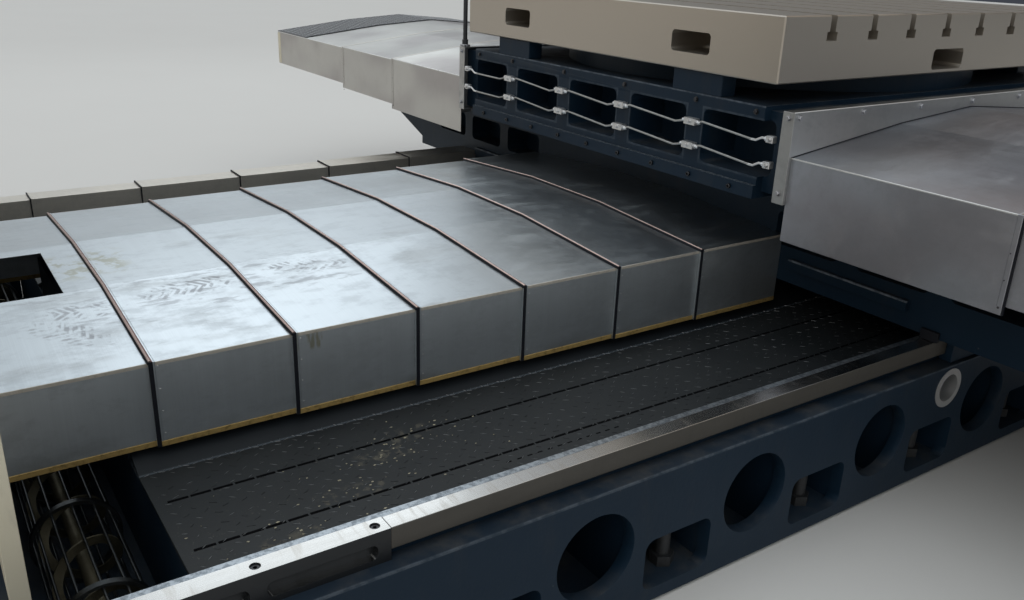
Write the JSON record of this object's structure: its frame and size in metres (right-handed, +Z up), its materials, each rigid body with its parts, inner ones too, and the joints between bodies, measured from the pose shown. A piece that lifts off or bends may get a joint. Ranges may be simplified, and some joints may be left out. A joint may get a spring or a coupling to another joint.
{
  "type": "horizontal machining center",
  "caption": "Table-type horizontal boring and machining centre: covered bed, saddle and carriage slides, turning T-slot table, column with vertical headstock and boring spindle.",
  "frame": {"origin": "middle of the footprint, on the floor", "axes": "+X across the bed towards the open way, +Y along the bed from the column to the table, +Z up"},
  "size_m": [6.9, 6.61, 3.68],
  "materials": {
    "casting": "dark blue-grey casting paint, satin",
    "stainless": "brushed stainless sheet, walked on",
    "ground_way": "ground steel",
    "table_iron": "machined cast iron",
    "trough_plate": "dark patterned chip plate",
    "cream": "cream sheet-metal paint",
    "tread": "black anti-slip plate",
    "conveyor_steel": "oily steel",
    "motor": "black motor paint",
    "bright_steel": "bright steel",
    "screw_steel": "ground screw steel"
  },
  "bodies": {
    "bed": {"table_bed": "casting", "outer_ways": "ground_way", "way_end_block": "casting", "way_screws": "bright_steel", "inner_ways": "ground_way", "trough_plates": "trough_plate", "levelling_jacks": "screw_steel", "lifting_bushes": "bright_steel", "conveyor_cage": "conveyor_steel", "conveyor_motor": "motor", "guard_wings": "cream", "y_ball_screw": "screw_steel", "front_cover_0": "stainless", "rear_cover_0": "stainless", "side_cover_0": "stainless", "column_base": "casting", "column": "casting", "column_ways": "ground_way", "z_ball_screw": "screw_steel", "z_motor": "motor"},
    "chip_screw": {"conveyor_coil": "conveyor_steel"},
    "saddle": {"saddle": "casting", "keeper_plates": "casting", "x_ways": "ground_way", "x_ball_screw": "screw_steel", "y_nut_drive": "casting", "front_cover_6": "stainless", "rear_cover_5": "stainless", "side_cover_5": "stainless", "x_cover_end_near": "stainless", "x_cover_end_far": "stainless", "tread_plates": "tread"},
    "carriage": {"carriage": "casting", "adapter_plates": "stainless", "lube_pipes": "bright_steel", "lube_blocks": "bright_steel", "table_bearing": "casting", "table_clamps": "casting", "x_cover_inner_near": "stainless", "x_cover_inner_far": "stainless"},
    "table": {"rotary_table": "table_iron"},
    "middle_cover_near": {"x_cover_middle_near": "stainless"},
    "middle_cover_far": {"x_cover_middle_far": "stainless"},
    "headstock": {"headstock": "casting", "spindle_motor": "motor"},
    "milling_sleeve": {"spindle_sleeve": "bright_steel"},
    "boring_spindle": {"boring_spindle": "bright_steel"},
    "front_cover_1": {"front_cover_1": "stainless"},
    "front_cover_2": {"front_cover_2": "stainless"},
    "front_cover_3": {"front_cover_3": "stainless"},
    "front_cover_4": {"front_cover_4": "stainless"},
    "front_cover_5": {"front_cover_5": "stainless"},
    "rear_cover_1": {"rear_cover_1": "stainless"},
    "rear_cover_2": {"rear_cover_2": "stainless"},
    "rear_cover_3": {"rear_cover_3": "stainless"},
    "rear_cover_4": {"rear_cover_4": "stainless"},
    "side_cover_1": {"side_cover_1": "stainless"},
    "side_cover_2": {"side_cover_2": "stainless"},
    "side_cover_3": {"side_cover_3": "stainless"},
    "side_cover_4": {"side_cover_4": "stainless"}
  },
  "joints": [
    {"name": "saddle_slide", "type": "slide", "parent": "bed", "child": "saddle", "axis": [0, 1, 0], "range_m": [-1.6, 0]},
    {"name": "carriage_slide", "type": "slide", "parent": "saddle", "child": "carriage", "axis": [1, 0, 0], "range_m": [-0.8, 0.8]},
    {"name": "table_turn", "type": "hinge", "parent": "carriage", "child": "table", "pos_m": [0, 1.453, 1.197], "axis": [0, 0, 1], "continuous": true},
    {"name": "head_slide", "type": "slide", "parent": "bed", "child": "headstock", "axis": [0, 0, 1], "range_m": [-0.6, 0.5]},
    {"name": "sleeve_turn", "type": "hinge", "parent": "headstock", "child": "milling_sleeve", "pos_m": [0, -1.655, 2.15], "axis": [0, 1, 0], "continuous": true},
    {"name": "spindle_slide", "type": "slide", "parent": "milling_sleeve", "child": "boring_spindle", "axis": [0, 1, 0], "range_m": [0, 0.5]},
    {"name": "chip_screw_turn", "type": "hinge", "parent": "bed", "child": "chip_screw", "pos_m": [0, -1.56, 0.195], "axis": [1, 0, 0], "continuous": true},
    {"name": "front_cover_1_slide", "type": "slide", "parent": "bed", "child": "front_cover_1", "axis": [0, 1, 0], "range_m": [-0.26667, 0]},
    {"name": "front_cover_2_slide", "type": "slide", "parent": "bed", "child": "front_cover_2", "axis": [0, 1, 0], "range_m": [-0.53333, 0]},
    {"name": "front_cover_3_slide", "type": "slide", "parent": "bed", "child": "front_cover_3", "axis": [0, 1, 0], "range_m": [-0.8, 0]},
    {"name": "front_cover_4_slide", "type": "slide", "parent": "bed", "child": "front_cover_4", "axis": [0, 1, 0], "range_m": [-1.06667, 0]},
    {"name": "front_cover_5_slide", "type": "slide", "parent": "bed", "child": "front_cover_5", "axis": [0, 1, 0], "range_m": [-1.33333, 0]},
    {"name": "rear_cover_1_slide", "type": "slide", "parent": "bed", "child": "rear_cover_1", "axis": [0, 1, 0], "range_m": [-0.32, 0]},
    {"name": "rear_cover_2_slide", "type": "slide", "parent": "bed", "child": "rear_cover_2", "axis": [0, 1, 0], "range_m": [-0.64, 0]},
    {"name": "rear_cover_3_slide", "type": "slide", "parent": "bed", "child": "rear_cover_3", "axis": [0, 1, 0], "range_m": [-0.96, 0]},
    {"name": "rear_cover_4_slide", "type": "slide", "parent": "bed", "child": "rear_cover_4", "axis": [0, 1, 0], "range_m": [-1.28, 0]},
    {"name": "side_cover_1_slide", "type": "slide", "parent": "bed", "child": "side_cover_1", "axis": [0, 1, 0], "range_m": [-0.32, 0]},
    {"name": "side_cover_2_slide", "type": "slide", "parent": "bed", "child": "side_cover_2", "axis": [0, 1, 0], "range_m": [-0.64, 0]},
    {"name": "side_cover_3_slide", "type": "slide", "parent": "bed", "child": "side_cover_3", "axis": [0, 1, 0], "range_m": [-0.96, 0]},
    {"name": "side_cover_4_slide", "type": "slide", "parent": "bed", "child": "side_cover_4", "axis": [0, 1, 0], "range_m": [-1.28, 0]},
    {"name": "middle_cover_near_slide", "type": "slide", "parent": "saddle", "child": "middle_cover_near", "axis": [1, 0, 0], "range_m": [-0.464, 0.464]},
    {"name": "middle_cover_far_slide", "type": "slide", "parent": "saddle", "child": "middle_cover_far", "axis": [1, 0, 0], "range_m": [-0.464, 0.464]}
  ],
  "couplings": [
    {"joint": "front_cover_1_slide", "follows": "saddle_slide", "ratio": 0.16667},
    {"joint": "front_cover_2_slide", "follows": "saddle_slide", "ratio": 0.33333},
    {"joint": "front_cover_3_slide", "follows": "saddle_slide", "ratio": 0.5},
    {"joint": "front_cover_4_slide", "follows": "saddle_slide", "ratio": 0.66667},
    {"joint": "front_cover_5_slide", "follows": "saddle_slide", "ratio": 0.83333},
    {"joint": "rear_cover_1_slide", "follows": "saddle_slide", "ratio": 0.2},
    {"joint": "rear_cover_2_slide", "follows": "saddle_slide", "ratio": 0.4},
    {"joint": "rear_cover_3_slide", "follows": "saddle_slide", "ratio": 0.6},
    {"joint": "rear_cover_4_slide", "follows": "saddle_slide", "ratio": 0.8},
    {"joint": "side_cover_1_slide", "follows": "saddle_slide", "ratio": 0.2},
    {"joint": "side_cover_2_slide", "follows": "saddle_slide", "ratio": 0.4},
    {"joint": "side_cover_3_slide", "follows": "saddle_slide", "ratio": 0.6},
    {"joint": "side_cover_4_slide", "follows": "saddle_slide", "ratio": 0.8},
    {"joint": "middle_cover_near_slide", "follows": "carriage_slide", "ratio": 0.58},
    {"joint": "middle_cover_far_slide", "follows": "carriage_slide", "ratio": 0.58}
  ]
}
